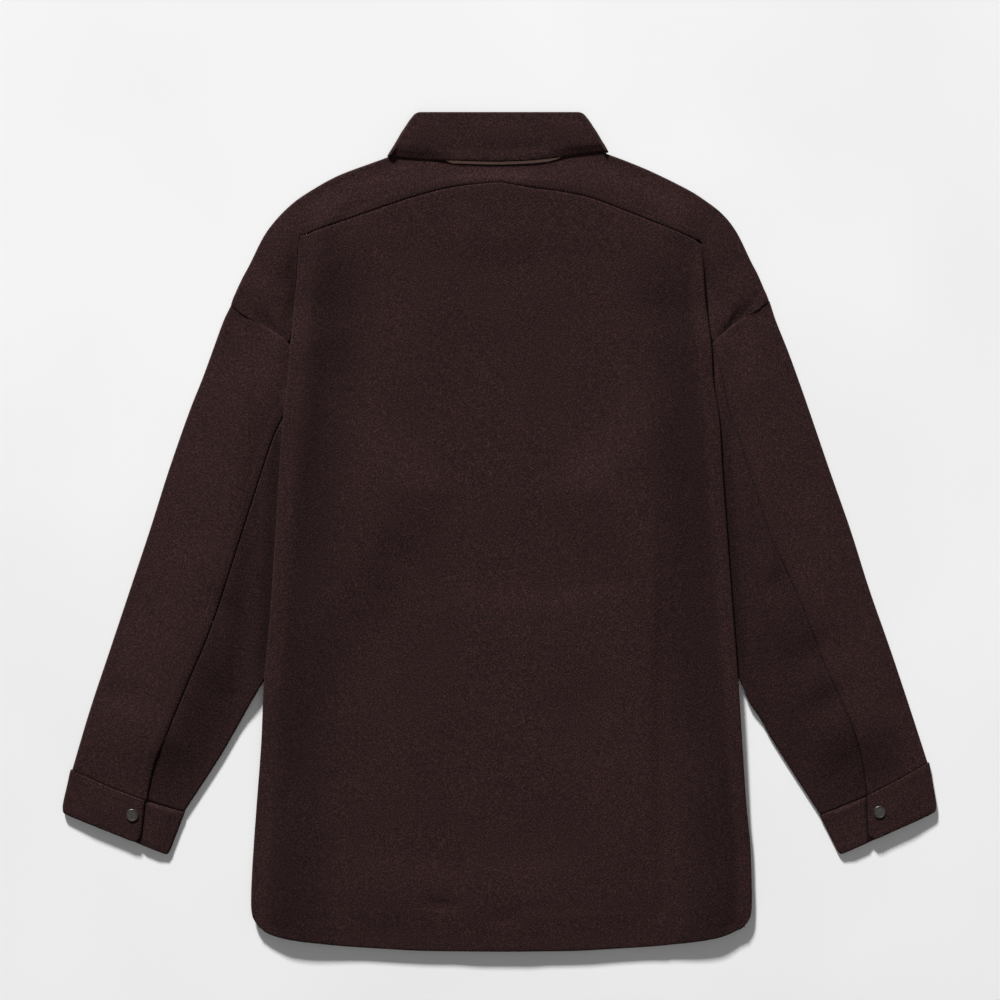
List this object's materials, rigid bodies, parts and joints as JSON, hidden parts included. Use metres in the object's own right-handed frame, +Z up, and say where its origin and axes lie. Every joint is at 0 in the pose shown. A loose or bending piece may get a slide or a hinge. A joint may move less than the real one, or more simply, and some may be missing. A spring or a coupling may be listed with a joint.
{
  "type": "shacket",
  "caption": "Shacket of brushed wool cloth laid flat with its back up, with a curved yoke, a turned-down collar, tucked sides, rounded hem and snapped cuffs.",
  "frame": {"origin": "bottom centre of the bounding box, on the surface that the shacket lies on", "axes": "+Z up off the surface and out of the back, +Y towards the collar, +X across the back to the right of the view"},
  "size_m": [0.878, 0.84, 0.0116],
  "materials": {
    "wool": "brushed wool flannel, dark red-brown melange",
    "underCollar": "light brown felted under-collar cloth",
    "gunmetal": "dark gunmetal plated snap cap"
  },
  "bodies": {
    "root": {"back_panel": "wool", "back_yoke": "wool", "front_left": "wool", "front_right": "wool", "collar_upper": "wool", "collar_stand": "wool", "sleeve_upper_left": "wool", "sleeve_upper_right": "wool", "sleeve_under_left": "wool", "sleeve_under_right": "wool", "cuff_left": "wool", "cuff_right": "wool", "collar_under": "underCollar", "cuff_snap_left": "gunmetal", "cuff_snap_right": "gunmetal", "front_snap_1": "gunmetal", "front_snap_2": "gunmetal", "front_snap_3": "gunmetal", "front_snap_4": "gunmetal", "front_snap_5": "gunmetal", "front_snap_6": "gunmetal"}
  },
  "joints": []
}
